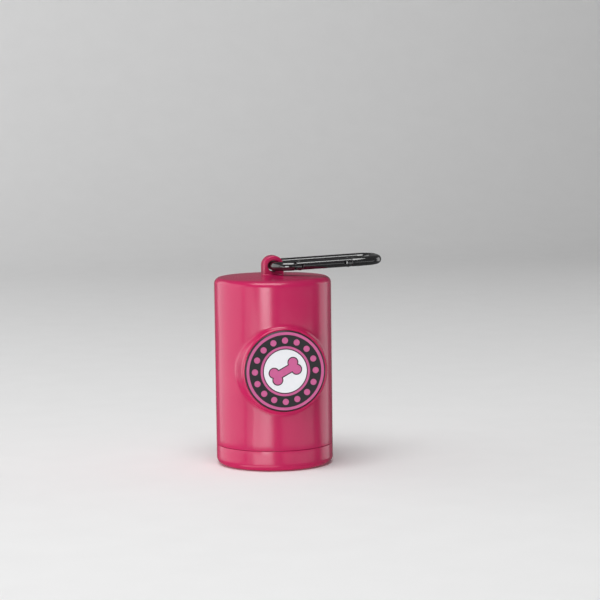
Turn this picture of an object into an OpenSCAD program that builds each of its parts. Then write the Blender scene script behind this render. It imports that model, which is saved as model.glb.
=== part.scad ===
// Round silicone dispenser for a roll of dog waste bags, with a pull-off bottom cap,
// a badge on the front, a moulded loop on top and a small snap hook through the loop.
// Millimetres. +Z is up, the badge faces -Y, the snap hook points to +X.
// The origin is the centre of the cap's underside, on the axis of the can.

/* [Can] */
// Outer diameter of the can
can_d = 56; // [50:1:64]
// Thickness of the side wall
wall = 2.6; // [2:0.1:3.4]
// Thickness of the closed top
top_t = 3; // [2:0.1:5]
// Radius of the rounded edge round the top face
top_round = 3; // [1:0.25:5]
// How far the top face rises from its edge to its middle
crown = 1.2; // [0.4:0.1:2.4]
// Radius of the inner corner under the top
inner_round = 1.5; // [0.5:0.25:3]

/* [Bottom cap] */
// Height of the part of the cap that shows
cap_h = 9.8; // [7:0.2:16]
// Radius of the cap's lower edge
cap_round = 3.6; // [1:0.2:5]
// Thickness of the cap's floor
cap_floor = 3.2; // [2:0.1:5]
// Radius of the corner between the floor and the plug's inside
cup_round = 2; // [0.5:0.25:3]
// Height of the hollow plug that enters the can
plug_h = 9; // [6:0.5:14]
// Wall of the hollow plug
plug_wall = 2.4; // [1.6:0.1:3]
// Bevel that leads the plug into the bore
plug_lead = 0.8; // [0.2:0.1:1.2]
// Clearance between the plug and the bore, on the radius
plug_clear = 0.35; // [0.2:0.05:0.8]
// Clearance that the sealing ribs leave in the bore, on the radius
rib_clear = 0.1; // [0.05:0.05:0.15]
// Number of sealing ribs round the plug
rib_count = 2; // [1:1:3]
// Width of one sealing rib
rib_w = 1.2; // [0.8:0.1:1.6]
// Open line between the cap and the can
seam_gap = 0.15; // [0.05:0.05:0.6]
// Radius of both edges along that line
seam_round = 0.3; // [0.1:0.1:1]

/* [Bag outlet] */
// Diameter of the round middle of the outlet
outlet_d = 10; // [8:0.5:14]
// Overall length of the slit that crosses it
slit_len = 30; // [18:1:44]
// Width of the slit
slit_w = 2.6; // [1.5:0.1:4]

/* [Top loop] */
// Diameter of the hole in the loop
loop_hole_d = 5.3; // [5.1:0.1:8]
// Thickness of the loop round the hole
loop_wall = 2.35; // [1.6:0.05:3]
// Depth of the loop from front to back
loop_depth = 7.5; // [4:0.5:9]
// Height of the hole's centre over the middle of the top face
loop_rise = 4; // [3.8:0.1:8]
// Radius of the loop's edges
loop_edge = 0.8; // [0.2:0.1:1.1]

/* [Badge boss] */
// Diameter of the boss at its face
boss_d = 41; // [40.8:0.2:44]
// Distance from the can's axis to the boss's face
boss_face = 29.2; // [28.6:0.1:31]
// Radius of the edge round the face
boss_round = 1.1; // [0.4:0.1:1.2]
// How much wider the boss is at its root, on the radius
boss_flare = 1.4; // [0:0.1:2.5]
// Height of the badge's centre
badge_z = 48; // [40:0.5:60]

/* [Badge] */
// Diameter of the black badge plate
badge_d = 38.2; // [34:0.2:38.4]
// Thickness of the badge plate
badge_t = 1.6; // [1.2:0.1:2.4]
// Depth of the seat in the boss that the plate is glued into
badge_seat = 1; // [0.4:0.1:1.1]
// Clearance round the plate in its seat
badge_clear = 0.1; // [0.05:0.05:0.3]
// Bevel of the plate's front edge
badge_bevel = 0.4; // [0.1:0.1:0.6]
// Depth of the wells that hold the coloured fills
fill_t = 0.5; // [0.3:0.1:0.8]
// Clearance round each coloured fill
fill_clear = 0.03; // [0.01:0.01:0.08]
// Width of the black line at the plate's edge
rim_line = 0.6; // [0.5:0.1:1]
// Width of the outer coloured ring
outer_ring_w = 1.4; // [0.8:0.1:2]
// Width of the black band between the rings
band_w = 5.3; // [4:0.1:6]
// Width of the inner coloured ring
inner_ring_w = 1.15; // [0.6:0.05:1.8]
// Width of the thin black lines round the middle and the bone
line_w = 0.4; // [0.3:0.05:0.8]
// Number of dots in the black band
dot_count = 16; // [8:1:20]
// Diameter of one dot
dot_d = 3; // [1.5:0.1:3.4]
// Overall length of the bone
bone_len = 14.6; // [10:0.2:16]
// Diameter of each of the bone's four knobs
knob_d = 4.4; // [3:0.1:5]
// Distance of each pair of knobs from the bone's line, as a part of a knob's radius
knob_spread = 0.85; // [0.7:0.05:1]
// Width of the bone's shaft
shaft_w = 3.4; // [2:0.1:4.2]
// Tilt of the bone
bone_tilt = 28; // [-60:1:60]

/* [Snap hook] */
// Overall length of the snap hook
clip_len = 55; // [50:1:62]
// Overall width of the snap hook
clip_w = 25.3; // [22:0.1:32]
// Diameter of the bent rod
rod_d = 4.4; // [3.6:0.1:4.5]
// Bend radius of the two corners beside the gate, at the rod's middle
gate_bend = 8; // [7:0.5:10]
// Bend radius of the two corners beside the spine
spine_bend = 7; // [5:0.5:8]
// How far the rod lies above the middle of the loop's hole
rod_lift = 0.1; // [-0.1:0.05:0.1]
// How much the snap hook's free end tips up
hook_tilt = 2.3; // [0:0.1:4]

/* [Gate] */
// Straight rod between the near bend and the gate's hinge end
near_stub = 0.6; // [0.3:0.1:3]
// Straight rod between the gate's tip and the far bend
far_stub = 6; // [0.3:0.1:8]
// How much slimmer the gate is than the rod, on the radius
gate_slim = 0.05; // [0:0.05:0.3]
// How much the gate's round hinge end is larger than the gate, on the radius
heel_extra = 0.2; // [0.1:0.05:0.3]
// Length of the gate past its latch pin
tip_len = 1.6; // [1.2:0.1:2.4]
// Metal of the hook past its notch
hook_lip = 0.8; // [0.5:0.1:1.2]
// Bore of the gate at its hinge end
gate_bore_d = 2.7; // [2.2:0.1:3]
// Bore of the gate past the spring's seat
core_bore_d = 1.8; // [1:0.1:2]
// Thickness of the flat tongues at both ends of the rod
tongue_t = 1.7; // [1.2:0.1:2]
// Clearance of a tongue in its slot, on each side
tongue_clear = 0.2; // [0.1:0.05:0.3]
// Half width of the tongues
tongue_r = 1.7; // [1.4:0.05:1.8]
// Open gap between the gate and the ends of the rod
gate_gap = 0.3; // [0.2:0.05:0.6]
// Diameter of the hinge pin
hinge_pin_d = 1.5; // [1.2:0.1:1.8]
// Diameter of the latch pin
latch_pin_d = 1.2; // [0.8:0.1:1.4]
// Running clearance round the hinge pin, on the radius
pin_clear = 0.05; // [0.02:0.01:0.1]
// Clearance round the latch pin in its hook, on the radius
hook_clear = 0.3; // [0.2:0.05:0.4]
// How far both pins stand out of the gate
pin_proud = 0.15; // [0:0.05:0.3]
// Wire of the gate spring
spring_wire = 0.35; // [0.25:0.05:0.4]
// Turns of the gate spring
spring_turns = 11; // [6:1:14]
// Rise of one turn of the gate spring
spring_pitch = 0.95; // [0.85:0.05:1.2]
// Clearance of the spring and its plunger in the gate's bore, on the radius
spring_clear = 0.15; // [0.1:0.05:0.3]
// Length of the plunger's head
head_len = 1.2; // [0.8:0.1:2]
// Length of the plunger's stem inside the spring
stem_len = 3.4; // [2:0.2:6]

/* [Bag roll] */
// Diameter of the full roll of bags
roll_d = 38; // [28:1:40]
// Height of the roll
roll_h = 76; // [56:1:78]
// Free height between the roll and the top of the can
head_room = 7.8; // [2:0.2:16]
// Outer diameter of the paper core
core_d = 12; // [10:0.5:16]
// Wall of the paper core
core_wall = 1; // [0.5:0.1:1.5]
// Clearance of the film on its core, on the radius
core_fit = 0.02; // [0.01:0.01:0.1]
// Thickness of the loose outer end of the film
tail_t = 0.5; // [0.3:0.1:0.8]
// Angle that the loose end covers on the roll
tail_angle = 75; // [30:5:160]

/* [Hidden] */
$fn = 72;
pink = [0.85, 0.24, 0.46];
badge_pink = [0.78, 0.33, 0.55];
gloss_black = [0.05, 0.05, 0.06];
steel = [0.72, 0.72, 0.74];
cut = 1;                       // how far a cutting body runs past the face it cuts

can_h = cap_floor + roll_h + head_room + top_t;
can_r = can_d / 2;
bore_r = can_r - wall;
shell_z = cap_h + seam_gap;
bore_top = can_h - top_t;
face_r = can_r - top_round;
crown_r = (face_r * face_r + crown * crown) / (2 * crown);

plug_r = bore_r - plug_clear;
plug_in_r = plug_r - plug_wall;
plug_top = cap_h + plug_h;
rib_r = bore_r - rib_clear;
rib_step = plug_h / (rib_count + 1);

loop_z = can_h + crown + loop_rise;
loop_in = loop_hole_d / 2;
loop_out = loop_in + loop_wall;
outlet_z = badge_z;

boss_r = boss_d / 2;
boss_root = sqrt(can_r * can_r - boss_r * boss_r) - wall;
seat_y = boss_face - badge_seat;
badge_front = seat_y + badge_t;
well_y = badge_front - fill_t;
ring1_out = badge_d / 2 - rim_line;
ring1_in = ring1_out - outer_ring_w;
ring2_out = ring1_in - band_w;
ring2_in = ring2_out - inner_ring_w;
centre_r = ring2_in - line_w;
dot_orbit = (ring1_in + ring2_out) / 2;

rod_r = rod_d / 2;
rod_z = loop_z + rod_lift;
far_x = clip_len - rod_d;      // the rod's middle line runs from x = 0 to here
half_w = (clip_w - rod_d) / 2;
gate_r = rod_r - gate_slim;
heel_r = gate_r + heel_extra;  // round end of the gate about its hinge pin
near_end_x = gate_bend + near_stub;
hinge_x = near_end_x + gate_gap + heel_r;
far_end_x = far_x - gate_bend - far_stub;
gate_end_x = far_end_x - gate_gap;
latch_x = gate_end_x - tip_len;
slot_t = tongue_t + 2 * tongue_clear;
hook_r = latch_pin_d / 2 + hook_clear;
head_x = hinge_x + tongue_r + spring_clear;
head_r = gate_bore_d / 2 - spring_clear;
spring_x = head_x + head_len;
spring_r = head_r - spring_wire / 2;
spring_len = spring_turns * spring_pitch;
seat_x = spring_x + spring_len + spring_wire;
stem_r = spring_r - spring_wire / 2 - spring_clear;

roll_z = cap_floor;
roll_r = roll_d / 2;
core_r = core_d / 2;

// A round solid on Z from z0 to z1 whose lower and upper edges are rounded by f0 and f1
module puck(r, z0, z1, f0, f1) {
    rotate_extrude() {
        translate([0, z0]) square([r - f0, f0]);
        translate([0, z0 + f0]) square([r, z1 - z0 - f0 - f1]);
        translate([0, z1 - f1]) square([r - f1, f1]);
        translate([r - f0, z0 + f0]) circle(f0);
        translate([r - f1, z1 - f1]) circle(f1);
    }
}

// A round solid on Z, from the floor up to h, with a bevelled upper edge
module bevelled_disc(r, h, bevel) {
    rotate_extrude() polygon([[0, 0], [r, 0], [r, h - bevel], [r - bevel, h], [0, h]]);
}

// Turns a solid that stands on Z so that it faces the front, at the badge's height
module facing_front() {
    translate([0, 0, badge_z]) rotate([90, 0, 0]) children();
}

// Moves a solid into the snap hook's own plane, which tips up about the rod in the loop
module at_hook() {
    translate([0, 0, rod_z]) rotate([0, -hook_tilt, 0]) children();
}

// A rod or bore along X at the gate's line, from x0 to x1
module along_gate(r, x0, x1) {
    translate([x0, -half_w, 0]) rotate([0, 90, 0]) cylinder(r = r, h = x1 - x0);
}

// Upright pin, or the hole for one, through the gate's line
module cross_pin(x, r, half) {
    translate([x, -half_w, -half]) cylinder(r = r, h = 2 * half);
}

// Gently crowned top face, as a slice of a large ball
module crown_solid() {
    rotate_extrude() intersection() {
        translate([0, can_h + crown - crown_r]) circle(crown_r, $fn = 720);
        translate([0, can_h - cut]) square([face_r, crown + cut]);
    }
}

// Ring of the loop, with rounded edges, on straight legs of the same width
module loop_solid() {
    half = loop_depth / 2;
    translate([0, 0, loop_z]) rotate([90, 0, 0]) rotate_extrude() {
        translate([loop_in, loop_edge - half]) square([loop_wall, loop_depth - 2 * loop_edge]);
        translate([loop_in + loop_edge, -half]) square([loop_wall - 2 * loop_edge, loop_depth]);
        for (r = [loop_in + loop_edge, loop_out - loop_edge], y = [loop_edge - half, half - loop_edge])
            translate([r, y]) circle(loop_edge);
    }
    difference() {
        translate([0, 0, can_h - cut]) linear_extrude(height = loop_z - can_h + cut) leg_outline();
        translate([0, loop_depth, loop_z]) rotate([90, 0, 0])
            cylinder(r = loop_in + loop_wall / 2, h = 2 * loop_depth);
    }
}

// Section of the legs under the ring, seen from above
module leg_outline() {
    x = loop_out - loop_edge;
    y = loop_depth / 2 - loop_edge;
    translate([-loop_out, -y]) square([2 * loop_out, 2 * y]);
    translate([-x, -loop_depth / 2]) square([2 * x, loop_depth]);
    for (sx = [-1, 1], sy = [-1, 1]) translate([sx * x, sy * y]) circle(loop_edge);
}

// Round boss that carries the badge, with a flared root and a rounded face edge
module boss_solid() {
    facing_front() rotate_extrude() {
        polygon([[0, boss_root], [boss_r + boss_flare, boss_root], [boss_r, boss_face - boss_round],
                 [boss_r - boss_round, boss_face], [0, boss_face]]);
        translate([boss_r - boss_round, boss_face - boss_round]) circle(boss_round);
    }
}

// Slit with a round middle, through the back wall
module outlet_cut() {
    slit_r = slit_w / 2;
    reach = slit_len / 2 - slit_r;
    translate([0, can_r + cut, outlet_z]) rotate([90, 0, 0]) linear_extrude(height = wall + 3 * cut) {
        circle(outlet_d / 2);
        translate([-slit_r, -reach]) square([slit_w, 2 * reach]);
        for (s = [-1, 1]) translate([0, s * reach]) circle(slit_r);
    }
}

module body_shell() {
    color(pink) difference() {
        union() {
            puck(can_r, shell_z, can_h, seam_round, top_round);
            crown_solid();
            boss_solid();
            loop_solid();
        }
        puck(bore_r, shell_z - 2 * inner_round, bore_top, inner_round, inner_round);
        facing_front() translate([0, 0, seat_y])
            cylinder(r = badge_d / 2 + badge_clear, h = badge_seat + cut);
        outlet_cut();
    }
}

module bottom_cap() {
    color(pink) difference() {
        union() {
            puck(can_r, 0, cap_h, cap_round, seam_round);
            translate([0, 0, cap_h - cut]) bevelled_disc(plug_r, plug_h + cut, plug_lead);
            for (i = [1 : rib_count])
                translate([0, 0, cap_h + i * rib_step - rib_w / 2]) seal_rib();
        }
        puck(plug_in_r, cap_floor, plug_top + cut + cup_round, cup_round, cup_round);
    }
}

// One sealing rib with sloping shoulders
module seal_rib() {
    slope = rib_r - plug_r;
    rotate_extrude() polygon([[0, 0], [plug_r, 0], [rib_r, slope], [rib_r, rib_w - slope],
                              [plug_r, rib_w], [0, rib_w]]);
}

// Flat ring between two radii
module flat_ring(outer, inner) {
    difference() {
        circle(outer);
        circle(inner);
    }
}

// Bone with four knobs, grown on all sides by grow
module bone_outline(grow) {
    knob_r = knob_d / 2;
    knob_x = bone_len / 2 - knob_r;
    spread = knob_r * knob_spread;
    rotate(bone_tilt) {
        translate([-knob_x, -shaft_w / 2 - grow]) square([2 * knob_x, shaft_w + 2 * grow]);
        for (sx = [-1, 1], sy = [-1, 1]) translate([sx * knob_x, sy * spread]) circle(knob_r + grow);
    }
}

// Dots evenly round the black band
module dots_outline(r) {
    for (i = [0 : dot_count - 1]) rotate(i * 360 / dot_count) translate([dot_orbit, 0]) circle(r);
}

// A coloured fill that lies in its well, flush with the badge's ribs
module badge_fill(colour) {
    color(colour) facing_front() translate([0, 0, well_y]) linear_extrude(height = fill_t) children();
}

module badge_base() {
    color(gloss_black) facing_front() difference() {
        translate([0, 0, seat_y]) bevelled_disc(badge_d / 2, badge_t, badge_bevel);
        translate([0, 0, well_y]) linear_extrude(height = fill_t + cut) {
            flat_ring(ring1_out, ring1_in);
            flat_ring(ring2_out, ring2_in);
            dots_outline(dot_d / 2);
            difference() {
                circle(centre_r);
                bone_outline(line_w);
            }
            bone_outline(0);
        }
    }
}

module badge_outer_ring() {
    badge_fill(badge_pink) flat_ring(ring1_out - fill_clear, ring1_in + fill_clear);
}

module badge_inner_ring() {
    badge_fill(badge_pink) flat_ring(ring2_out - fill_clear, ring2_in + fill_clear);
}

module badge_dots() {
    badge_fill(badge_pink) dots_outline(dot_d / 2 - fill_clear);
}

module badge_centre() {
    badge_fill("white") difference() {
        circle(centre_r - fill_clear);
        bone_outline(line_w + fill_clear);
    }
}

module badge_bone() {
    badge_fill(badge_pink) bone_outline(-fill_clear);
}

// Quarter bend of the rod about a corner centre, from angle a
module quarter_bend(x, y, bend, a) {
    translate([x, y, 0]) rotate([0, 0, a]) rotate_extrude(angle = 90) translate([bend, 0]) circle(rod_r);
}

// Straight stretch of rod along Y at x, from y0 to y1
module end_bar(x, y0, y1) {
    translate([x, y0, 0]) rotate([-90, 0, 0]) cylinder(r = rod_r, h = y1 - y0);
}

// Flat tongue with a round end, centred on the gate's line
module tongue(x0, x1) {
    translate([0, 0, -tongue_t / 2]) linear_extrude(height = tongue_t) {
        translate([min(x0, x1), -half_w - tongue_r]) square([abs(x1 - x0), 2 * tongue_r]);
        translate([x0, -half_w]) circle(tongue_r);
    }
}

// Notch that opens inwards, so that the latch pin can enter as the gate closes
module hook_notch() {
    cross_pin(latch_x, hook_r, tongue_t);
    translate([latch_x - hook_r, -half_w, -tongue_t]) cube([2 * hook_r, 2 * tongue_r, 2 * tongue_t]);
}

module carabiner_frame() {
    gate_cy = gate_bend - half_w;
    spine_cy = half_w - spine_bend;
    color(gloss_black) at_hook() difference() {
        union() {
            along_gate(rod_r, gate_bend, near_end_x);
            quarter_bend(gate_bend, gate_cy, gate_bend, 180);
            end_bar(0, gate_cy, spine_cy);
            quarter_bend(spine_bend, spine_cy, spine_bend, 90);
            translate([spine_bend, half_w, 0]) rotate([0, 90, 0])
                cylinder(r = rod_r, h = far_x - 2 * spine_bend);
            quarter_bend(far_x - spine_bend, spine_cy, spine_bend, 0);
            end_bar(far_x, gate_cy, spine_cy);
            quarter_bend(far_x - gate_bend, gate_cy, gate_bend, 270);
            along_gate(rod_r, far_end_x, far_x - gate_bend);
            tongue(hinge_x, near_end_x - cut);
            tongue(latch_x - hook_r - hook_lip + tongue_r, far_end_x + cut);
        }
        cross_pin(hinge_x, hinge_pin_d / 2 + pin_clear, tongue_t);
        hook_notch();
    }
}

module carabiner_gate() {
    color(gloss_black) at_hook() difference() {
        intersection() {
            along_gate(gate_r, near_end_x, gate_end_x);
            union() {
                cross_pin(hinge_x, heel_r, rod_r + cut);
                translate([hinge_x, -half_w - rod_r - cut, -rod_r - cut])
                    cube([gate_end_x - hinge_x + cut, 2 * (rod_r + cut), 2 * (rod_r + cut)]);
            }
        }
        along_gate(gate_bore_d / 2, near_end_x - cut, seat_x);
        along_gate(core_bore_d / 2, near_end_x, gate_end_x + cut);
        gate_slot(near_end_x - cut, head_x + gate_gap);
        gate_slot(latch_x - hook_r - hook_lip - gate_gap, gate_end_x + cut);
        cross_pin(hinge_x, hinge_pin_d / 2, rod_d);
        cross_pin(latch_x, latch_pin_d / 2, rod_d);
    }
}

// Slot through the gate that clears a tongue
module gate_slot(x0, x1) {
    translate([x0, -half_w - rod_r - cut, -slot_t / 2]) cube([x1 - x0, 2 * (rod_r + cut), slot_t]);
}

module gate_hinge_pin() {
    color(gloss_black) at_hook() cross_pin(hinge_x, hinge_pin_d / 2, gate_r + pin_proud);
}

module gate_latch_pin() {
    color(gloss_black) at_hook() cross_pin(latch_x, latch_pin_d / 2, gate_r + pin_proud);
}

// Points of the spring's middle line, as a helix along X with a closed ring of sides round each
coil_steps = 10;
coil_sides = 6;
function coil_mid(t) = [spring_x + spring_wire / 2 + t * spring_pitch,
                        spring_r * cos(360 * t) - half_w, spring_r * sin(360 * t)];
function coil_ring(t) = [for (k = [0 : coil_sides - 1])
    let (b = 360 * k / coil_sides, out = cos(b) * spring_wire / 2, along = sin(b) * spring_wire / 2)
    coil_mid(t) + [along, out * cos(360 * t), out * sin(360 * t)]];

module gate_spring() {
    rings = coil_steps * spring_turns;
    points = [for (i = [0 : rings]) each coil_ring(i / coil_steps)];
    sides = [for (i = [0 : rings - 1], k = [0 : coil_sides - 1])
        let (a = i * coil_sides + k, b = i * coil_sides + (k + 1) % coil_sides)
        each [[a, a + coil_sides, b + coil_sides], [a, b + coil_sides, b]]];
    ends = [for (k = [1 : coil_sides - 2]) each [[0, k, k + 1],
        [rings * coil_sides, rings * coil_sides + k + 1, rings * coil_sides + k]]];
    color(steel) at_hook() polyhedron(points = points, faces = concat(sides, ends));
}

module spring_plunger() {
    color(steel) at_hook() {
        along_gate(head_r, head_x, spring_x);
        along_gate(stem_r, spring_x, spring_x + stem_len);
    }
}

module roll_core() {
    color("tan") translate([0, 0, roll_z]) difference() {
        cylinder(r = core_r, h = roll_h);
        translate([0, 0, -cut]) cylinder(r = core_r - core_wall, h = roll_h + 2 * cut);
    }
}

module bag_roll() {
    color("black") translate([0, 0, roll_z]) difference() {
        union() {
            cylinder(r = roll_r, h = roll_h);
            rotate_extrude(angle = tail_angle) translate([roll_r - tail_t, 0]) square([2 * tail_t, roll_h]);
        }
        translate([0, 0, -cut]) cylinder(r = core_r + core_fit, h = roll_h + 2 * cut);
    }
}

// Least clear gap between neighbouring turns of the gate spring, measured on its points
coil_points = [for (i = [0 : coil_steps * spring_turns]) coil_mid(i / coil_steps)];
echo(spring_gap = min([for (i = [0 : len(coil_points) - 1], j = [i + coil_steps - 2 : 1 : len(coil_points) - 1])
    norm(coil_points[i] - coil_points[j])]) - spring_wire);

body_shell();
bottom_cap();
badge_base();
badge_outer_ring();
badge_inner_ring();
badge_dots();
badge_centre();
badge_bone();
carabiner_frame();
carabiner_gate();
gate_hinge_pin();
gate_latch_pin();
gate_spring();
spring_plunger();
roll_core();
bag_roll();
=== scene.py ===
# Looks for the round silicone bag dispenser: finer surfaces for its moulded and bent pieces,
# a finish for every piece, a pale studio and the camera of the photograph.
# Everything is built in metres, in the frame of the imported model. The lengths written below are
# in millimetres and the angles in degrees, but for those of the studio, which is in metres.
import math

import bmesh
import bpy
import numpy as np
from mathutils import Matrix, Vector


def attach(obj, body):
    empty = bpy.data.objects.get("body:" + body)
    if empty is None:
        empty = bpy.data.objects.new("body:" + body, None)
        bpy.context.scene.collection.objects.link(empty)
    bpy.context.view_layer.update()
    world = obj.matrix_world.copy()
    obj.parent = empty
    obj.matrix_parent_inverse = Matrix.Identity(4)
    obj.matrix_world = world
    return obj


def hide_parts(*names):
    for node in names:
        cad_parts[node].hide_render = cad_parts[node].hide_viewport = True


MM = 0.001                      # metres in a millimetre

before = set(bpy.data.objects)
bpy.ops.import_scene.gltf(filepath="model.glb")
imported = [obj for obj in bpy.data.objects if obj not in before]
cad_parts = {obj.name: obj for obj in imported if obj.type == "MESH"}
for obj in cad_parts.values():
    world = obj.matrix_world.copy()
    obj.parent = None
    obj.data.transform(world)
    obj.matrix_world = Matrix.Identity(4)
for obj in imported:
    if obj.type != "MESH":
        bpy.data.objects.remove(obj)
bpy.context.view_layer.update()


# ---------------------------------------------------------------- shader maths

class Wire:
    """An output of a node. Maths on it adds Math nodes."""

    def __init__(self, finish, socket):
        self.finish = finish
        self.socket = socket

    def __add__(self, other):
        return self.finish.maths("ADD", self, other)

    __radd__ = __add__

    def __sub__(self, other):
        return self.finish.maths("SUBTRACT", self, other)

    def __rsub__(self, other):
        return self.finish.maths("SUBTRACT", other, self)

    def __mul__(self, other):
        return self.finish.maths("MULTIPLY", self, other)


class Finish:
    """A material that is being made, with its Principled shader."""

    def __init__(self, name, constants):
        self.material = bpy.data.materials.new(name)
        self.material.use_nodes = True
        self.tree = self.material.node_tree
        self.shader = self.tree.nodes["Principled BSDF"]
        self.coordinates = None
        for socket, value in constants.items():
            self.shader.inputs[socket].default_value = value

    def add(self, kind, settings=None, sockets=None, output=0):
        """A new node of that kind, with its settings and with its sockets plugged."""
        node = self.tree.nodes.new(kind)
        for key, value in (settings or {}).items():
            setattr(node, key, value)
        for key, value in (sockets or {}).items():
            self.plug(node.inputs[key], value)
        return Wire(self, node.outputs[output])

    def plug(self, socket, value):
        """Links a wire to the socket, or sets it to a constant."""
        if isinstance(value, Wire):
            self.tree.links.new(value.socket, socket)
        else:
            socket.default_value = value

    def maths(self, operation, first, second=0.0):
        return self.add("ShaderNodeMath", {"operation": operation}, {0: first, 1: second})

    def drive(self, socket, value):
        """Plugs a value into the material's shader."""
        self.plug(self.shader.inputs[socket], value)

    def place(self):
        """The point on the piece, in metres, in the model's frame."""
        if self.coordinates is None:
            self.coordinates = self.add("ShaderNodeTexCoord", output="Object")
        return self.coordinates

    def from_axis(self):
        """Distance of the point from the can's axis, in metres."""
        return self.add("ShaderNodeVectorMath", {"operation": "LENGTH"},
                        {0: self.stretched((1.0, 1.0, 0.0))}, output="Value")

    def stretched(self, scale):
        """The point with each of its coordinates scaled, for a grain that runs one way."""
        return self.add("ShaderNodeMapping", {"vector_type": "POINT"},
                        {"Vector": self.place(), "Scale": scale})

    def noise(self, scale, detail=2.0, rough=0.5, vector=None):
        return self.add("ShaderNodeTexNoise", {"noise_dimensions": "3D"},
                        {"Vector": vector or self.place(), "Scale": scale, "Detail": detail,
                         "Roughness": rough}, output="Fac")

    def between(self, factor, low, high):
        """Colour from low to high."""
        return self.add("ShaderNodeMix", {"data_type": "RGBA", "blend_type": "MIX"},
                        {"Factor": factor, 6: low, 7: high}, output=2)

    def relief(self, height, strength, distance):
        self.drive("Normal", self.add("ShaderNodeBump", None,
                                      {"Height": height, "Strength": strength, "Distance": distance},
                                      output="Normal"))


def tone(red, green, blue):
    """A colour written as it shows on screen, from 0 to 255, as the shader wants it."""
    parts = []
    for part in (red, green, blue):
        part /= 255
        parts.append(part / 12.92 if part <= 0.04045 else ((part + 0.055) / 1.055) ** 2.4)
    return (*parts, 1.0)


# ---------------------------------------------------------------- finishes

def moulded_silicone():
    """Pink silicone with a satin skin, faint clouding and the slight waviness of a soft moulding."""
    f = Finish("moulded_silicone", {"IOR": 1.5})
    clouds = f.noise(38.0, 3.0)
    dust = f.noise(5200.0, 2.0, 0.6)
    f.drive("Base Color", f.between(clouds, tone(184, 26, 82), tone(178, 31, 84)))
    f.drive("Roughness", 0.17 + clouds * 0.05 + dust * 0.04)
    waves = f.noise(46.0, 1.0, 0.4)
    grain = f.noise(3400.0, 2.0, 0.5)
    f.relief(waves + grain * 0.006, 0.5, 0.0011)
    return f.material


def badge_lacquer():
    """Black satin plastic of the badge plate and its raised lines."""
    f = Finish("badge_lacquer", {"IOR": 1.49})
    speck = f.noise(2600.0, 2.0)
    f.drive("Base Color", f.between(speck, tone(30, 30, 33), tone(38, 38, 41)))
    f.drive("Roughness", 0.32 + speck * 0.12)
    f.relief(speck, 0.2, 0.00004)
    return f.material


def badge_colour(name, low, high):
    """Colour that fills a well of the badge, with a soft satin face."""
    f = Finish(name, {"IOR": 1.49})
    clouds = f.noise(420.0, 3.0)
    f.drive("Base Color", f.between(clouds, low, high))
    f.drive("Roughness", 0.36 + clouds * 0.14)
    f.relief(f.noise(2400.0, 2.0), 0.15, 0.00004)
    return f.material


def black_enamel():
    """Glossy black plating on the snap hook, with a little orange peel and dust."""
    f = Finish("black_enamel", {"IOR": 1.9})
    peel = f.noise(900.0, 2.0, 0.4)
    dust = f.noise(6000.0, 2.0, 0.6)
    f.drive("Base Color", f.between(dust, tone(12, 12, 13), tone(22, 22, 24)))
    f.drive("Roughness", 0.09 + dust * 0.08)
    f.relief(peel, 0.12, 0.00006)
    return f.material


def bright_steel():
    """Drawn steel of the pins, the spring and the plunger."""
    f = Finish("bright_steel", {"Metallic": 1.0})
    drawn = f.noise(1.0, 3.0, 0.6, vector=f.stretched((9000.0, 9000.0, 900.0)))
    f.drive("Base Color", f.between(drawn, tone(160, 160, 164), tone(196, 196, 200)))
    f.drive("Roughness", 0.22 + drawn * 0.16)
    f.relief(drawn, 0.2, 0.00003)
    return f.material


def grey_card():
    """Wound card of the roll's core, with fibres and the wound seam."""
    f = Finish("grey_card", {"IOR": 1.4})
    turns_per_metre, seam_width, above_zero = 42.0, 0.035, 10.0
    fibre = f.noise(1.0, 4.0, 0.65, vector=f.stretched((2600.0, 2600.0, 600.0)))
    spot = f.add("ShaderNodeSeparateXYZ", None, {"Vector": f.place()}, output="X")
    parts = spot.socket.node.outputs
    turn = f.maths("ARCTAN2", Wire(f, parts["Y"]), Wire(f, parts["X"])) * (1 / (2 * math.pi))
    winding = f.maths("FRACT", Wire(f, parts["Z"]) * turns_per_metre + turn + above_zero)
    seam = f.maths("LESS_THAN", winding, seam_width)
    f.drive("Base Color", f.between(fibre * 0.8 * (1 - seam * 0.7),
                                    tone(150, 124, 92), tone(200, 176, 140)))
    f.drive("Roughness", 0.82 + fibre * 0.12)
    f.relief(fibre - seam, 0.5, 0.0001)
    return f.material


def bag_film():
    """Black film: fine creases round the roll and the edges of its turns on the ends."""
    f = Finish("bag_film", {"IOR": 1.5})
    crease = f.noise(1.0, 3.0, 0.6, vector=f.stretched((260.0, 260.0, 60.0)))
    outwards = f.add("ShaderNodeCombineXYZ", None, {"X": f.from_axis() * 9000.0})
    turns = f.noise(1.0, 2.0, 0.7, vector=outwards)
    f.drive("Base Color", f.between(crease * 0.6 + turns * 0.4,
                                    tone(20, 20, 22), tone(48, 48, 51)))
    f.drive("Roughness", 0.34 + crease * 0.2 + turns * 0.1)
    f.relief(crease + turns * 0.25, 0.6, 0.0003)
    return f.material


silicone = moulded_silicone()
lacquer = badge_lacquer()
badge_pink = badge_colour("badge_pink", tone(188, 84, 136), tone(202, 96, 148))
badge_white = badge_colour("badge_white", tone(222, 224, 228), tone(230, 231, 234))
enamel = black_enamel()
steel = bright_steel()
card = grey_card()
film = bag_film()

finish_of_node = {
    "body_shell": silicone, "bottom_cap": silicone,
    "badge_base": lacquer, "badge_outer_ring": badge_pink, "badge_inner_ring": badge_pink,
    "badge_dots": badge_pink, "badge_bone": badge_pink, "badge_centre": badge_white,
    "carabiner_frame": enamel, "carabiner_gate": enamel,
    "gate_hinge_pin": enamel, "gate_latch_pin": enamel, "gate_spring": steel,
    "spring_plunger": steel, "roll_core": card, "bag_roll": film,
}
for node, material in finish_of_node.items():
    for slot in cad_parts[node].material_slots:
        slot.material = material


# ---------------------------------------------------------------- modelling helpers

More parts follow.
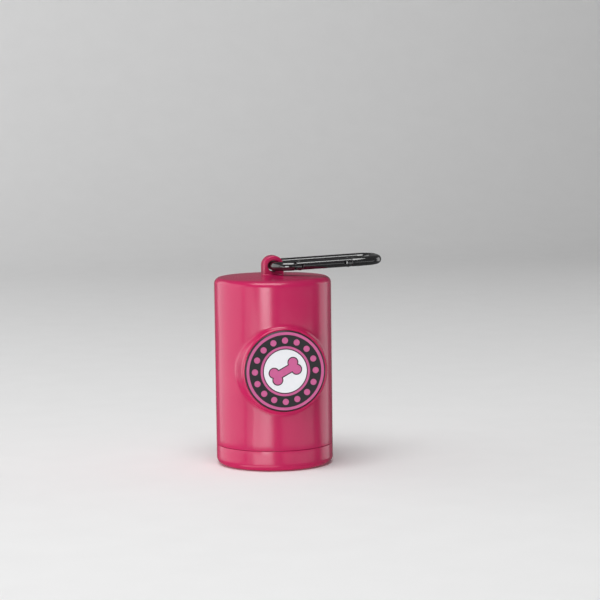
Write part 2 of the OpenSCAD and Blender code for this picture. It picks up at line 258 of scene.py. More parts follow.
def leave_edit_mode():
    """Back to object mode with nothing selected."""
    if bpy.context.object is not None and bpy.context.object.mode != "OBJECT":
        bpy.ops.object.mode_set(mode="OBJECT")
    bpy.ops.object.select_all(action="DESELECT")


def pick(piece):
    """Makes the piece the one that is selected and active."""
    leave_edit_mode()
    piece.select_set(True)
    bpy.context.view_layer.objects.active = piece


def new_piece(name, verts, faces):
    """A new object from corners in metres and faces."""
    mesh = bpy.data.meshes.new(name)
    mesh.from_pydata(verts, [], faces)
    piece = bpy.data.objects.new(name, mesh)
    bpy.context.scene.collection.objects.link(piece)
    return piece


def change(piece, kind, **settings):
    """Applies a modifier of that kind to the piece."""
    pick(piece)
    modifier = piece.modifiers.new(kind.lower(), kind)
    for key, value in settings.items():
        setattr(modifier, key, value)
    bpy.ops.object.modifier_apply(modifier=modifier.name)


def arc(centre_x, centre_y, radius, start, end, steps):
    """Points of an arc in degrees, both ends included."""
    points = []
    for i in range(steps + 1):
        a = math.radians(start + (end - start) * i / steps)
        points.append((centre_x + radius * math.cos(a), centre_y + radius * math.sin(a)))
    return points


def spin_outline(name, outline, steps):
    """Draws an outline of (radius, height) points in millimetres from one vertex, and spins it."""
    leave_edit_mode()
    first = outline[0]
    bpy.ops.mesh.primitive_plane_add(size=MM, location=(first[0] * MM, 0, first[1] * MM))
    piece = bpy.context.object
    piece.name = name
    piece.data.name = name
    bpy.ops.object.transform_apply(location=True, rotation=True, scale=True)
    bpy.ops.object.mode_set(mode="EDIT")
    bpy.ops.mesh.select_all(action="SELECT")
    bpy.ops.mesh.merge(type="CENTER")
    bpy.ops.mesh.select_mode(type="VERT")
    bpy.ops.mesh.select_all(action="SELECT")
    for before, after in zip(outline, outline[1:]):
        step = ((after[0] - before[0]) * MM, 0, (after[1] - before[1]) * MM)
        bpy.ops.mesh.extrude_region_move(TRANSFORM_OT_translate={"value": step})
    bpy.ops.mesh.select_all(action="SELECT")
    bpy.ops.mesh.spin(steps=steps, angle=2 * math.pi, center=(0, 0, 0), axis=(0, 0, 1))
    bpy.ops.mesh.select_all(action="SELECT")
    bpy.ops.mesh.remove_doubles(threshold=0.002 * MM)
    bpy.ops.mesh.normals_make_consistent(inside=False)
    bpy.ops.object.mode_set(mode="OBJECT")
    return piece


def ring_strip(name, rings, close_last=False, close_first=False):
    """A surface through rings of equally many points, in millimetres, one after the other."""
    count = len(rings[0])
    verts = [(x * MM, y * MM, z * MM) for ring in rings for x, y, z in ring]
    faces = []
    for k in range(len(rings) - 1):
        for i in range(count):
            j = (i + 1) % count
            here, beyond = k * count, (k + 1) * count
            faces.append((here + i, here + j, beyond + j, beyond + i))
    if close_last:
        faces.append(tuple(range((len(rings) - 1) * count, len(rings) * count)))
    if close_first:
        faces.append(tuple(range(count))[::-1])
    return new_piece(name, verts, faces)


def prism(name, outline, way):
    """A flat outline of (x, y, z) points in millimetres, extruded by that way."""
    leave_edit_mode()
    piece = new_piece(name, [(x * MM, y * MM, z * MM) for x, y, z in outline],
                      [tuple(range(len(outline)))])
    pick(piece)
    bpy.ops.object.mode_set(mode="EDIT")
    bpy.ops.mesh.select_all(action="SELECT")
    step = tuple(part * MM for part in way)
    bpy.ops.mesh.extrude_region_move(TRANSFORM_OT_translate={"value": step})
    bpy.ops.mesh.select_all(action="SELECT")
    bpy.ops.mesh.normals_make_consistent(inside=False)
    bpy.ops.object.mode_set(mode="OBJECT")
    return piece


def standing_pin(x, y, z, radius, length, sides):
    """A cylinder in millimetres that stands round its middle point."""
    leave_edit_mode()
    bpy.ops.mesh.primitive_cylinder_add(vertices=sides, radius=radius * MM, depth=length * MM,
                                        location=(x * MM, y * MM, z * MM))
    piece = bpy.context.object
    bpy.ops.object.transform_apply(location=True, rotation=True, scale=True)
    return piece


def cut_with(piece, cutter):
    """Takes the cutter's shape out of the piece."""
    change(piece, "BOOLEAN", operation="DIFFERENCE", solver="EXACT", object=cutter)
    bpy.data.objects.remove(cutter, do_unlink=True)


def cut_window(piece, inside):
    """Deletes the faces whose middle, in millimetres, is inside."""
    pick(piece)
    bpy.ops.object.mode_set(mode="EDIT")
    bpy.ops.mesh.select_mode(type="FACE")
    bpy.ops.mesh.select_all(action="DESELECT")
    mesh = bmesh.from_edit_mesh(piece.data)
    for face in mesh.faces:
        face.select = inside(face.calc_center_median() / MM)
    bmesh.update_edit_mesh(piece.data)
    bpy.ops.mesh.delete(type="FACE")
    bpy.ops.object.mode_set(mode="OBJECT")


def weld(piece, *others):
    """Joins the others to the piece, merges the seams and turns all faces outwards."""
    pick(piece)
    for other in others:
        other.select_set(True)
    if others:
        bpy.ops.object.join()
    bpy.ops.object.mode_set(mode="EDIT")
    bpy.ops.mesh.select_all(action="SELECT")
    bpy.ops.mesh.remove_doubles(threshold=0.004 * MM)
    bpy.ops.mesh.normals_make_consistent(inside=False)
    bpy.ops.object.mode_set(mode="OBJECT")


def smooth_faces(piece, angle):
    """Smooth shading, but for edges that turn by more than the angle."""
    pick(piece)
    bpy.ops.object.shade_smooth_by_angle(angle=math.radians(angle))


def round_edges(piece, radius, steps, angle, smooth):
    """Rounds the edges that turn by more than the angle, then smooths the faces."""
    change(piece, "BEVEL", width=radius * MM, segments=steps, limit_method="ANGLE",
           angle_limit=math.radians(angle))
    smooth_faces(piece, smooth)


def level_shading(piece):
    """Lets a flat face shade as flat right up to its rounded edges."""
    change(piece, "WEIGHTED_NORMAL", mode="FACE_AREA", weight=100, keep_sharp=True)


def hand_over(piece, body, slot, material, *nodes):
    """Gives a finished piece its finish, and lets it stand for its CAD nodes."""
    piece.data.materials.clear()
    piece.data.materials.append(material)
    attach(piece, body)
    if nodes:
        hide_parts(*nodes)


# ---------------------------------------------------------------- can

CAN_R = 28.0
BORE_R = 25.4
SHELL_Z = 9.95                  # lower edge of the can, at the seam above the cap
CAN_H = 90.0
CROWN = 1.2                     # how far the top face rises to its middle
FACE_R = 25.0                   # where the top face meets its rounded edge
BORE_TOP = 87.0
BADGE_Z = 48.0
STEPS_ROUND = 180
WINDOW_CELLS = 64               # cells along each side of the window round the boss
WINDOW_HALF_Z = 27.0
CELL_ANGLE = 360 / STEPS_ROUND
CELL_Z = 2 * WINDOW_HALF_Z / WINDOW_CELLS


def face_height(radius):
    """Height of the gently crowned top face at that distance from the axis."""
    ball = (FACE_R ** 2 + CROWN ** 2) / (2 * CROWN)
    return CAN_H + CROWN - ball + math.sqrt(ball ** 2 - radius ** 2)


def row_heights(first, last):
    """Heights of the window's rows of cells, counted from its lower edge."""
    return [BADGE_Z - WINDOW_HALF_Z + CELL_Z * k for k in range(first, last + 1)]


def evenly(low, high, count):
    """Numbers from low to high in equal steps, both ends included."""
    return [low + (high - low) * i / count for i in range(count + 1)]


def window_border(middle_angle, cells_round, first_row, last_row):
    """Angle and height pairs round a window of the wall, upwards from its lower right corner."""
    half = cells_round * CELL_ANGLE / 2
    rows = row_heights(first_row, last_row)
    angles = [middle_angle - half + CELL_ANGLE * i for i in range(cells_round + 1)]
    right = [(angles[-1], z) for z in rows[:-1]]
    top = [(a, rows[-1]) for a in angles[:0:-1]]
    left = [(angles[0], z) for z in rows[:0:-1]]
    bottom = [(a, rows[0]) for a in angles[:-1]]
    return right + top + left + bottom


def on_wall(angle, z, radius):
    """A point of the wall. Angle 0 is in front, +90 at +X."""
    a = math.radians(angle)
    return (radius * math.sin(a), -radius * math.cos(a), z)


def wall_morph(border, inner, radius, count):
    """Rings on the wall, from the window's border to an inner ring of (angle, height) pairs."""
    rings = []
    for j in range(count):
        share = j / count
        rings.append([on_wall(out_a + (in_a - out_a) * share, out_z + (in_z - out_z) * share, radius)
                      for (out_a, out_z), (in_a, in_z) in zip(border, inner)])
    return rings


BOSS_R = 20.5
BOSS_FACE = 29.2
BOSS_ROUND = 1.1
BOSS_SLOPE = 1.4 / 11.63        # how much the boss widens for each millimetre towards the axis
BOSS_REACH = 24.2               # where its soft root has run out into the can
ROOT_SOFT = 0.75                # how far the root's corner is spread along the surface
SEAT_R = 19.2
SEAT_Y = 28.2
BOSS_RINGS = 40
FRONT_RINGS = 10                # from the window's border to the boss
FINE_POINTS = 700               # on a line of the boss before it is thinned to its rings
EASE_ROOT, EASE_FACE = 1.6, 1.7  # over which the softening fades at the line's two ends


def fade(share):
    """A soft rise from 0 to 1."""
    return share ** 2 * (3 - 2 * share)


def boss_line(turn, rings):
    """Line up the boss's side to its face, as radius and depth pairs.

    It starts at the boss's reach, and lies in the plane at that turn round the badge.
    """
    cosine = math.cos(turn)

    def wall_depth(r):
        return math.sqrt(CAN_R ** 2 - (r * cosine) ** 2)

    def side_depth(r):
        return BOSS_FACE - BOSS_ROUND - (r - BOSS_R) / BOSS_SLOPE

    low, high = BOSS_R, BOSS_REACH
    for _ in range(40):
        middle = (low + high) / 2
        if side_depth(middle) > wall_depth(middle):
            low = middle
        else:
            high = middle
    root = (low + high) / 2
    hard = [(r, wall_depth(r)) for r in np.linspace(BOSS_REACH, root, 60)]
    hard += [(r, side_depth(r)) for r in np.linspace(root, BOSS_R, 80)[1:]]
    corner = BOSS_R - BOSS_ROUND
    hard += [(corner + BOSS_ROUND * math.cos(a), BOSS_FACE - BOSS_ROUND + BOSS_ROUND * math.sin(a))
             for a in np.linspace(0, math.pi / 2, 30)[1:]]
    line = np.array(hard)
    run = np.concatenate([[0], np.cumsum(np.linalg.norm(np.diff(line, axis=0), axis=1))])
    fine = np.linspace(0, run[-1], FINE_POINTS)
    line = np.stack([np.interp(fine, run, line[:, 0]), np.interp(fine, run, line[:, 1])], 1)
    gap = fine[1]
    reach = int(3 * ROOT_SOFT / gap)
    weights = np.exp(-0.5 * (np.arange(-reach, reach + 1) * gap / ROOT_SOFT) ** 2)
    weights /= weights.sum()
    padded = np.concatenate([line[0] - (line[1] - line[0]) * np.arange(reach, 0, -1)[:, None], line,
                             line[-1] + (line[-1] - line[-2]) * np.arange(1, reach + 1)[:, None]])
    soft = np.stack([np.convolve(padded[:, k], weights, "valid") for k in (0, 1)], 1)
    from_root = np.minimum(fine / EASE_ROOT, 1)
    to_face = np.clip((fine[-1] - fine) / EASE_FACE, 0, 1)
    blend = (fade(from_root) * fade(to_face))[:, None]
    line = line * (1 - blend) + soft * blend
    share = np.linspace(0, 1, rings)
    return np.stack([np.interp(share * fine[-1], fine, line[:, k]) for k in (0, 1)], 1)


def boss_patch():
    """The boss with its soft root and the seat of the badge, in the window in front."""
    border = window_border(0, WINDOW_CELLS, 0, WINDOW_CELLS)
    turns = [math.radians(-45 + 360 * i / len(border)) for i in range(len(border))]
    start = []
    for turn in turns:
        x = BOSS_REACH * math.cos(turn)
        start.append((math.degrees(math.asin(x / CAN_R)), BADGE_Z + BOSS_REACH * math.sin(turn)))
    rings = wall_morph(border, start, CAN_R, FRONT_RINGS)
    lines = [boss_line(turn, BOSS_RINGS) for turn in turns]
    for k in range(BOSS_RINGS):
        rings.append([(line[k][0] * math.cos(t), -line[k][1], BADGE_Z + line[k][0] * math.sin(t))
                      for line, t in zip(lines, turns)])
    for r, depth in ((SEAT_R + 0.12, BOSS_FACE), (SEAT_R + 0.03, BOSS_FACE - 0.04),
                     (SEAT_R, BOSS_FACE - 0.12), (SEAT_R, SEAT_Y), (12.0, SEAT_Y), (5.0, SEAT_Y)):
        rings.append([(r * math.cos(t), -depth, BADGE_Z + r * math.sin(t)) for t in turns])
    return ring_strip("boss_patch", rings, close_last=True)


OUTLET_R = 5.0
SLIT_HALF = 15.0
SLIT_R = 1.3
LIP = 0.6
OUTLET_FIRST_ROW, OUTLET_LAST_ROW, OUTLET_CELLS = 8, 56, 20
BACK_RINGS = 8                  # from the window's border to the outlet
LIP_STEPS = 5


def outlet_side(count):
    """Right half of the outlet's outline from its lower to its upper end, as x, height points."""
    heights = np.sin(np.linspace(-math.pi / 2, math.pi / 2, 6001)) * SLIT_HALF
    circle = np.sqrt(np.maximum(OUTLET_R ** 2 - heights ** 2, 0))
    over = np.maximum(np.abs(heights) - (SLIT_HALF - SLIT_R), 0)
    slit = np.sqrt(np.maximum(SLIT_R ** 2 - over ** 2, 0))
    sharp, past_circle = 3.5, 7
    width = np.log(np.exp(circle * sharp) + np.exp(slit * sharp)) / sharp
    width = np.where(np.abs(heights) > past_circle, slit, width)
    line = np.stack([width, heights], 1)
    run = np.concatenate([[0], np.cumsum(np.linalg.norm(np.diff(line, axis=0), axis=1))])
    even = np.linspace(0, run[-1], count + 1)
    return np.stack([np.interp(even, run, line[:, 0]), np.interp(even, run, line[:, 1])], 1)


def outlet_patch():
    """The bag outlet through the back wall, with rounded lips on both sides."""
    border = window_border(180, OUTLET_CELLS, OUTLET_FIRST_ROW, OUTLET_LAST_ROW)
    count = len(border)
    rows = OUTLET_LAST_ROW - OUTLET_FIRST_ROW
    half = outlet_side(count // 2)
    whole = np.concatenate([half, half[-2:0:-1] * (-1, 1)])
    lead = (count // 2 - rows) // 2
    whole = np.roll(whole, -lead, axis=0)
    before, after = np.roll(whole, 1, axis=0), np.roll(whole, -1, axis=0)
    along = after - before
    normal = np.stack([along[:, 1], -along[:, 0]], 1)
    normal /= np.linalg.norm(normal, axis=1)[:, None]
    for _ in range(3):
        normal = normal + np.roll(normal, 1, axis=0) + np.roll(normal, -1, axis=0)
        normal /= np.linalg.norm(normal, axis=1)[:, None]

    def lip_ring(offset, radius):
        points = whole + normal * offset
        # seen from the back, +X is on the left, so the outline's right side is at -X
        return [(-x, math.sqrt(radius ** 2 - x ** 2), BADGE_Z + z) for x, z in points]

    def lip_edge(radius):
        points = whole + normal * LIP
        return [(180 + math.degrees(math.asin(x / radius)), BADGE_Z + z) for x, z in points]

    rings = wall_morph(border, lip_edge(CAN_R), CAN_R, BACK_RINGS)
    for a in evenly(0, 90, LIP_STEPS):
        a = math.radians(a)
        rings.append(lip_ring(LIP * (1 - math.sin(a)), CAN_R - LIP * (1 - math.cos(a))))
    for a in evenly(90, 0, LIP_STEPS):
        a = math.radians(a)
        rings.append(lip_ring(LIP * (1 - math.sin(a)), BORE_R + LIP * (1 - math.cos(a))))
    rings += wall_morph(border, lip_edge(BORE_R), BORE_R, BACK_RINGS)[::-1]
    return ring_strip("outlet_patch", rings)


def can_body():
    """The moulded can: a spun wall, with the boss set into its front and the outlet into its back."""
    seam, edge, corner, lean = 0.2, 3.0, 1.5, 5.5
    outline = [(r, face_height(r)) for r in (0, 3, 6, 9, 12, 15, 18, 21, 23.2)]
    outline += arc(CAN_R - edge, CAN_H - edge, edge, 90 - lean, 0, 14)
    outline += [(CAN_R, z) for z in (84.2, 81.2, 78.1)]
    outline += [(CAN_R, z) for z in row_heights(0, WINDOW_CELLS)[::-1]]
    outline += [(CAN_R, z) for z in (19, 17, 15, 13)]
    outline += arc(CAN_R - seam, SHELL_Z + seam, seam, 0, -90, 4)
    outline += [(BORE_R + 0.3, SHELL_Z), (BORE_R, SHELL_Z + 0.3)]
    outline += [(BORE_R, z) for z in (14, 19, 23.5)]
    outline += [(BORE_R, z) for z in row_heights(OUTLET_FIRST_ROW, OUTLET_LAST_ROW)]
    outline += [(BORE_R, z) for z in (74, 80)]
    outline += arc(BORE_R - corner, BORE_TOP - corner, corner, 0, 90, 6)
    outline += [(14, BORE_TOP), (0, BORE_TOP)]
    body = spin_outline("can_body", outline, STEPS_ROUND)
    half_front = math.radians(WINDOW_CELLS * CELL_ANGLE / 2)
    cut_window(body, lambda p: p.y < 0 and math.hypot(p.x, p.y) > CAN_R - 0.1
               and abs(math.atan2(p.x, -p.y)) < half_front and abs(p.z - BADGE_Z) < WINDOW_HALF_Z)
    half_back = math.radians(OUTLET_CELLS * CELL_ANGLE / 2)
    rows = row_heights(OUTLET_FIRST_ROW, OUTLET_LAST_ROW)
    cut_window(body, lambda p: p.y > 0 and math.hypot(p.x, p.y) > BORE_R - 0.1
               and abs(math.atan2(p.x, p.y)) < half_back and rows[0] < p.z < rows[-1])
    weld(body, boss_patch(), outlet_patch())
    smooth_faces(body, 40)
    return body


LOOP_Z = 95.2                   # middle of the loop's hole
LOOP_IN = 2.65
LOOP_OUT = 5.0
LOOP_HALF = 3.75                # half of its depth


def loop_section(edge):
    """Outline of the ring's section, with all four corners rounded."""
    section = arc(LOOP_OUT - edge, LOOP_HALF - edge, edge, 90, 0, 6)
    section += arc(LOOP_OUT - edge, edge - LOOP_HALF, edge, 0, -90, 6)
    section += arc(LOOP_IN + edge, edge - LOOP_HALF, edge, -90, -180, 6)
    section += arc(LOOP_IN + edge, LOOP_HALF - edge, edge, 180, 90, 6)
    return section + section[:1]


def top_loop():
    """The arched loop on its straight legs, fused into one soft moulding with the top face."""
    edge, reach, skin, under = 0.8, 9.5, 1.2, 0.02
    ring = spin_outline("top_loop", loop_section(edge), 96)
    ring.rotation_euler = (math.radians(90), 0, 0)
    ring.location = (0, 0, LOOP_Z * MM)
    pick(ring)
    bpy.ops.object.transform_apply(location=True, rotation=True, scale=True)
    foot = CAN_H - skin / 2
    hole = (LOOP_IN + LOOP_OUT) / 2
    inner = arc(0, LOOP_Z, hole, 0, -180, 32)
    pieces = []
    for name, out, half in (("loop_legs", LOOP_OUT, LOOP_HALF - edge),
                            ("loop_legs_deep", LOOP_OUT - edge, LOOP_HALF)):
        outline = [(out, foot), (out, LOOP_Z)] + inner + [(-out, LOOP_Z), (-out, foot)]
        pieces.append(prism(name, [(x, -half, z) for x, z in outline], (0, 2 * half, 0)))
    for x in (edge - LOOP_OUT, LOOP_OUT - edge):
        for y in (edge - LOOP_HALF, LOOP_HALF - edge):
            pieces.append(standing_pin(x, y, (LOOP_Z + foot) / 2, edge, LOOP_Z - foot, 32))
    radii = evenly(0, reach, 8)
    pieces.append(spin_outline("loop_skin", [(r, face_height(r) - under) for r in radii]
                               + [(reach, foot - skin), (0, foot - skin)], 96))
    pick(ring)
    for piece in pieces:
        piece.select_set(True)
    bpy.ops.object.join()
    change(ring, "REMESH", mode="VOXEL", voxel_size=0.2 * MM)
    change(ring, "SMOOTH", factor=0.5, iterations=6)
    bpy.ops.object.mode_set(mode="EDIT")
    bpy.ops.mesh.select_all(action="SELECT")
    bpy.ops.mesh.bisect(plane_co=(0, 0, (CAN_H - 0.3) * MM), plane_no=(0, 0, 1),
                        use_fill=True, clear_inner=True)
    bpy.ops.object.mode_set(mode="OBJECT")
    pick(ring)
    bpy.ops.object.shade_smooth()
    return ring


CAP_H = 9.8


def cap_skin():
    """The pull-off cap with its hollow plug and the two sealing ribs."""
    edge, seam, lead, hollow = 3.6, 0.2, 0.8, 2.0
    plug_r, plug_in, plug_top, floor = 25.05, 22.65, 18.8, 3.2
    rib_r, rib_half, rib_step = 25.3, 0.6, 3.0
    outline = [(0, 0), (12, 0), (20, 0)]
    outline += arc(CAN_R - edge, edge, edge, -90, 0, 16)
    outline += [(CAN_R, z) for z in (5.2, 7.3)]
    outline += arc(CAN_R - seam, CAP_H - seam, seam, 0, 90, 5)
    outline += [(plug_r + 0.3, CAP_H), (plug_r, CAP_H + 0.3)]
    for i in (1, 2):
        middle = CAP_H + rib_step * i
        outline += [(plug_r, middle - rib_half), (rib_r - 0.05, middle - rib_half + 0.2),
                    (rib_r, middle - 0.25), (rib_r, middle + 0.25),
                    (rib_r - 0.05, middle + rib_half - 0.2), (plug_r, middle + rib_half)]
    outline += [(plug_r, plug_top - lead)]
    outline += arc(plug_r - lead, plug_top - lead, lead, 10, 80, 5)
    outline += [(plug_r - lead - 0.1, plug_top), (plug_in + 0.5, plug_top)]
    outline += arc(plug_in + 0.4, plug_top - 0.4, 0.4, 100, 180, 4)
    outline += [(plug_in, 14), (plug_in, 9)]
    outline += arc(plug_in - hollow, floor + hollow, hollow, 0, -90, 8)
    outline += [(14, floor), (0, floor)]
    cap = spin_outline("cap_skin", outline, STEPS_ROUND)
    smooth_faces(cap, 40)
    return cap


hand_over(can_body(), "shell", "silicone", silicone, "body_shell")
hand_over(top_loop(), "shell", "silicone", silicone, "body_shell")
hand_over(cap_skin(), "cap", "silicone", silicone, "bottom_cap")


# ---------------------------------------------------------------- badge

def softened_copy(node, name, radius, steps, angle):
    """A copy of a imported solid, merged and with its sharp edges rounded a little."""
    leave_edit_mode()
    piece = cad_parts[node].copy()
    piece.data = piece.data.copy()
    piece.name = name
    piece.data.name = name
    for key in list(piece.keys()):
        del piece[key]
    piece.parent = None
    bpy.context.scene.collection.objects.link(piece)
    piece.hide_render = False
    piece.hide_viewport = False
    pick(piece)
    bpy.ops.object.mode_set(mode="EDIT")
    bpy.ops.mesh.select_all(action="SELECT")
    bpy.ops.mesh.remove_doubles(threshold=0.002 * MM)
    bpy.ops.mesh.dissolve_limited(angle_limit=math.radians(0.4))
    bpy.ops.object.mode_set(mode="OBJECT")
    round_edges(piece, radius, steps, angle, 50)
    level_shading(piece)
    return piece


hand_over(softened_copy("badge_base", "badge_plate", 0.06, 2, 35),
          "shell", "badge_black", lacquer, "badge_base")
for part, material, slot in (("outer_ring", badge_pink, "badge_pink"),
                             ("inner_ring", badge_pink, "badge_pink"),
                             ("dots", badge_pink, "badge_pink"),
                             ("bone", badge_pink, "badge_pink"),
                             ("centre", badge_white, "badge_white")):
    hand_over(softened_copy("badge_" + part, "inlay_" + part, 0.09, 3, 35),
              "shell", slot, material, "badge_" + part)


# ---------------------------------------------------------------- snap hook

ROD_R = 2.2
HOOK_Z = 95.3                   # the rod's middle in the loop
HOOK_TILT = 2.3                 # how far the free end is tipped up
HALF_W = 10.45                  # from the hook's middle line to the gate's and the spine's
FAR_X = 50.6
GATE_BEND = 8.0
SPINE_BEND = 7.0
NEAR_END = 8.6                  # where the rod ends at the gate's hinge
FAR_END = 36.6                  # and at its latch
HINGE_X = 11.25
LATCH_X = 34.7
TONGUE_HALF = 0.85
TONGUE_R = 1.7
ROD_SIDES = 48


def set_in_hook(piece):
    """Tips a piece that was made flat about the rod in the loop, and lifts it to its place."""
    piece.rotation_euler = (0, -math.radians(HOOK_TILT), 0)
    piece.location = (0, 0, HOOK_Z * MM)
    pick(piece)
    bpy.ops.object.transform_apply(location=True, rotation=True, scale=True)


def bent_rod():
    """The rod, swept from the gate's hinge end along straight runs and quarter bends to the far end."""
    gate_y = GATE_BEND - HALF_W
    spine_y = HALF_W - SPINE_BEND
    bend_steps = 20
    bends = ((GATE_BEND, gate_y, GATE_BEND, 270), (SPINE_BEND, spine_y, SPINE_BEND, 180),
             (FAR_X - SPINE_BEND, spine_y, SPINE_BEND, 90), (FAR_X - GATE_BEND, gate_y, GATE_BEND, 0))
    line = [(NEAR_END, -HALF_W, 180)]
    for centre_x, centre_y, bend, start in bends:
        for k, (x, y) in enumerate(arc(centre_x, centre_y, bend, start, start - 90, bend_steps)):
            line.append((x, y, start - 90 - 90 * k / bend_steps))
    line.append((FAR_END, -HALF_W, 180))
    edge = 0.2
    rings = []
    rounded_end = [(edge * (1 - math.sin(math.radians(a))), edge * (1 - math.cos(math.radians(a))))
                   for a in (0, 30, 60)]
    stations = [(line[0], thinner, ahead) for thinner, ahead in rounded_end]
    stations += [(place, 0.0, edge if place is line[0] else 0.0) for place in line[:-1]]
    stations += [(line[-1], 0.0, -edge)]
    stations += [(line[-1], thinner, -ahead) for thinner, ahead in rounded_end[::-1]]
    for (x, y, heading), thinner, ahead in stations:
        way = (math.cos(math.radians(heading)), math.sin(math.radians(heading)))
        radius = ROD_R - thinner
        ring = []
        for k in range(ROD_SIDES):
            a = 2 * math.pi * k / ROD_SIDES
            side = radius * math.cos(a)
            ring.append((x + way[0] * ahead - way[1] * side, y + way[1] * ahead + way[0] * side,
                         radius * math.sin(a)))
        rings.append(ring)
    rod = ring_strip("hook_rod", rings, close_last=True, close_first=True)
    weld(rod)
    return rod


def plate_in_hook(name, outline, half):
    """A flat plate of the hook, that thick to each side of its plane, from an outline in it."""
    return prism(name, [(x, y, -half) for x, y in outline], (0, 0, 2 * half))


def hook_frame():
    """The bent rod with the flat tongues for the gate's hinge and its latch."""
    hinge_hole, notch, overlap = 0.8, 0.9, 1.0
    y = -HALF_W
    outline = [(NEAR_END - overlap, y - TONGUE_R)] + arc(HINGE_X, y, TONGUE_R, -90, 90, 20)
    outline += [(NEAR_END - overlap, y + TONGUE_R)]
    hinge = plate_in_hook("hinge_tongue", outline, TONGUE_HALF)
    cut_with(hinge, standing_pin(HINGE_X, y, 0, hinge_hole, 4, 40))
    lip = math.degrees(math.asin(notch / TONGUE_R))
    outline = [(FAR_END + overlap, y - TONGUE_R), (FAR_END + overlap, y + TONGUE_R),
               (LATCH_X + notch, y + TONGUE_R)]
    outline += arc(LATCH_X, y, notch, 0, -180, 16) + arc(LATCH_X, y, TONGUE_R, 90 + lip, 270, 20)
    latch = plate_in_hook("latch_tongue", outline, TONGUE_HALF)
    rod = bent_rod()
    for piece in (hinge, latch):
        round_edges(piece, 0.12, 3, 40, 45)
    pick(rod)
    hinge.select_set(True)
    latch.select_set(True)
    bpy.ops.object.join()
    set_in_hook(rod)
    smooth_faces(rod, 40)
    return rod


hand_over(hook_frame(), "carabiner", "black_metal", enamel, "carabiner_frame")
hand_over(softened_copy("carabiner_gate", "hook_gate", 0.1, 3, 32),
          "gate", "black_metal", enamel, "carabiner_gate")


# ---------------------------------------------------------------- roll of bags

ROLL_R = 19.0
CORE_HOLE = 6.05
ROLL_LOW, ROLL_HIGH = 3.2, 79.2
TAIL_ANGLE = 75.0
TAIL_STEP = 0.5


def film_roll():
    """The wound film, with turns that stand a little proud at both ends, and its loose outer end."""
    play, turns, levels = 0.12, 30, 26      # play is how far a crease may stand out
    chance = np.random.default_rng(11)
    angles = np.concatenate([[0, 0.5, 1.5, 3, 5], np.linspace(7.5, 357.5, 141), [359.2, 359.7]])
    tail = TAIL_STEP * np.clip(1 - angles / TAIL_ANGLE, 0, 1) ** 0.7
    tail[-1] = TAIL_STEP * 0.6
    outer = ROLL_R + tail
    turn = np.radians(angles)
    wander = 0.05 * (np.sin(3 * turn + 1) + np.sin(7 * turn))

    def ring(radii, z):
        return [(r * math.cos(t), r * math.sin(t), z) for r, t in zip(radii, turn)]

    shares = np.linspace(0, 1, turns)
    ends = [CORE_HOLE + (outer - play - CORE_HOLE) * share for share in shares]
    low = ROLL_LOW + np.concatenate([[0.2], chance.uniform(0.0, 0.3, turns - 2), [0.25]])
    high = ROLL_HIGH - np.concatenate([[0.2], chance.uniform(0.0, 0.3, turns - 2), [0.25]])
    rings = [ring(radii, z) for radii, z in zip(ends, low)]
    for z in np.linspace(ROLL_LOW + 0.6, ROLL_HIGH - 0.6, levels):
        crease = 0.06 + 0.05 * np.sin(z * 0.9 + 80 * wander) + wander
        rings.append(ring(outer - play + np.clip(crease, 0, play), z))
    rings += [ring(radii, z) for radii, z in zip(ends[::-1], high[::-1])]
    rings.append(rings[0])
    roll = ring_strip("film_roll", rings)
    weld(roll)
    smooth_faces(roll, 50)
    return roll


def core_tube():
    """Card tube in the roll, with soft ends. It stands just clear of the cap's floor."""
    outer, inner, soft, plain, rows = 6.0, 5.0, 0.25, 3, 12
    low, high = ROLL_LOW + 0.03, ROLL_HIGH
    outline = arc(outer - soft, low + soft, soft, -90, 0, 3)
    outline += [(outer, z) for z in evenly(low + plain, high - plain, rows)]
    outline += arc(outer - soft, high - soft, soft, 0, 90, 3)
    outline += arc(inner + soft, high - soft, soft, 90, 180, 3)
    outline += [(inner, z) for z in evenly(high - plain, low + plain, rows)]
    outline += arc(inner + soft, low + soft, soft, 180, 270, 3)
    tube = spin_outline("core_tube", outline + outline[:1], 96)
    smooth_faces(tube, 50)
    return tube


hand_over(film_roll(), "roll", "film", film, "bag_roll")
hand_over(core_tube(), "roll", "card", card, "roll_core")


# ---------------------------------------------------------------- studio

def studio_floor():
    """Pale floor that curves up into a backdrop."""
    f = Finish("studio_paper", {"Roughness": 0.9, "Specular IOR Level": 0.1})
    f.drive("Base Color", f.between(f.noise(40.0, 2.0), tone(234, 234, 234), tone(238, 238, 238)))
    front, depth, width, rise, bend, steps = -2.2, 1.6, 4.0, 2.2, 0.5, 12
    profile = [(front, 0.0)]
    for i in range(steps + 1):
        a = math.radians(90 * i / steps)
        profile.append((depth - bend + bend * math.sin(a), bend - bend * math.cos(a)))
    profile.append((depth, rise))
    verts = [(x, y, z) for y, z in profile for x in (-width, width)]
    faces = [(2 * i, 2 * i + 1, 2 * i + 3, 2 * i + 2) for i in range(len(profile) - 1)]
    paper = new_piece("studio_paper", verts, faces)
    for face in paper.data.polygons:
        face.use_smooth = True
    paper.data.materials.append(f.material)
    # the can is seen from just above, so its wall mirrors lamps that reach below the floor
    paper.visible_glossy = False
    paper.visible_shadow = False


def soft_lamp(name, azimuth, elevation, distance, width, height, radiance):
    """An oblong lamp that faces the can's middle. Azimuth 0 is in front of the badge, +90 at +X."""
    a, e = math.radians(azimuth), math.radians(elevation)
    middle = Vector((0, 0, 0.05))
    way = Vector((math.sin(a) * math.cos(e), -math.cos(a) * math.cos(e), math.sin(e)))
    lamp = bpy.data.lights.new(name, "AREA")
    lamp.shape = "RECTANGLE"
    lamp.size = width
    lamp.size_y = height
    lamp.energy = radiance * 4 * width * height     # makes its face that bright
    piece = bpy.data.objects.new(name, lamp)
    piece.location = middle + way * distance
    piece.rotation_euler = (-way).to_track_quat("-Z", "Y").to_euler()
    bpy.context.scene.collection.objects.link(piece)


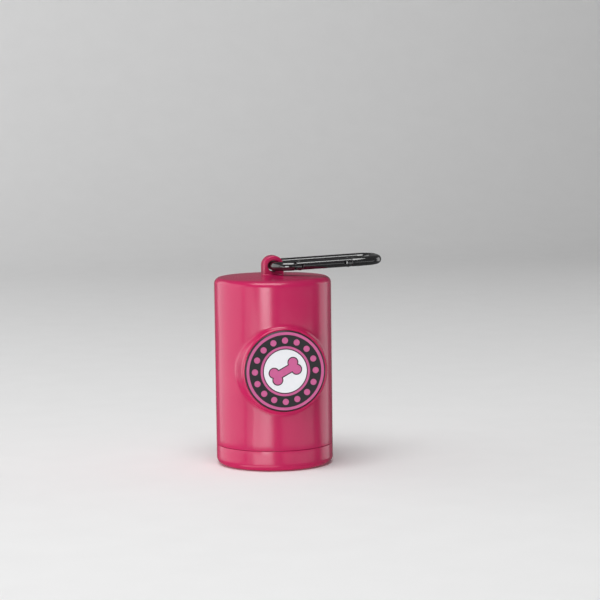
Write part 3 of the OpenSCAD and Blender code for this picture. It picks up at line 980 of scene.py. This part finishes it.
def studio_light():
    """Even light from all round, and lamps where the can of the photograph is bright."""
    world = bpy.data.worlds.new("studio_air")
    bpy.context.scene.world = world
    world.use_nodes = True
    air = world.node_tree.nodes["Background"]
    air.inputs["Color"].default_value = (1.0, 1.0, 1.0, 1.0)
    air.inputs["Strength"].default_value = 0.15
    for name, azimuth, elevation, distance, width, height, radiance in (
            ("lamp_left", -110, 12, 1.4, 2.3, 1.4, 1.16),
            ("lamp_side", -57, 0, 1.3, 0.46, 0.7, 1.2),
            ("lamp_strip", -26, 0, 1.3, 0.40, 0.30, 6.2),
            ("lamp_strip_low", -33, -12, 1.3, 0.84, 0.22, 3.4),
            ("lamp_front_low", 38, -11, 1.3, 1.8, 0.22, 0.9),
            ("lamp_under", -48, -42, 1.2, 1.5, 0.5, 1.5),
            ("lamp_right", 109, 5, 1.2, 0.66, 0.9, 1.0),
            ("lamp_top", -25, 68, 1.3, 1.0, 0.8, 4.0)):
        soft_lamp(name, azimuth, elevation, distance, width, height, radiance)


def photo_camera():
    """The camera of the photograph: its place and aim were found from the can's own outline."""
    azimuth = math.radians(-10.57)
    distance, height, aim_side, aim_height = 1.0, 0.1789, 0.01307, 0.07845
    roll = math.radians(-0.72)
    place = Vector((distance * math.sin(azimuth), -distance * math.cos(azimuth), height))
    aim = Vector((aim_side * math.cos(azimuth), aim_side * math.sin(azimuth), aim_height))
    ahead = (aim - place).normalized()
    right = ahead.cross(Vector((0, 0, 1))).normalized()
    up = right.cross(ahead)
    turned_right = right * math.cos(roll) + up * math.sin(roll)
    turned_up = up * math.cos(roll) - right * math.sin(roll)
    lens = bpy.data.cameras.new("photo_camera")
    lens.sensor_width = 36.0
    lens.lens = 125.67
    lens.clip_start = 0.05
    camera = bpy.data.objects.new("photo_camera", lens)
    camera.matrix_world = Matrix((
        (turned_right.x, turned_up.x, -ahead.x, place.x),
        (turned_right.y, turned_up.y, -ahead.y, place.y),
        (turned_right.z, turned_up.z, -ahead.z, place.z),
        (0, 0, 0, 1)))
    bpy.context.scene.collection.objects.link(camera)
    bpy.context.scene.camera = camera


studio_floor()
studio_light()
photo_camera()
bpy.context.scene.view_settings.view_transform = "Standard"
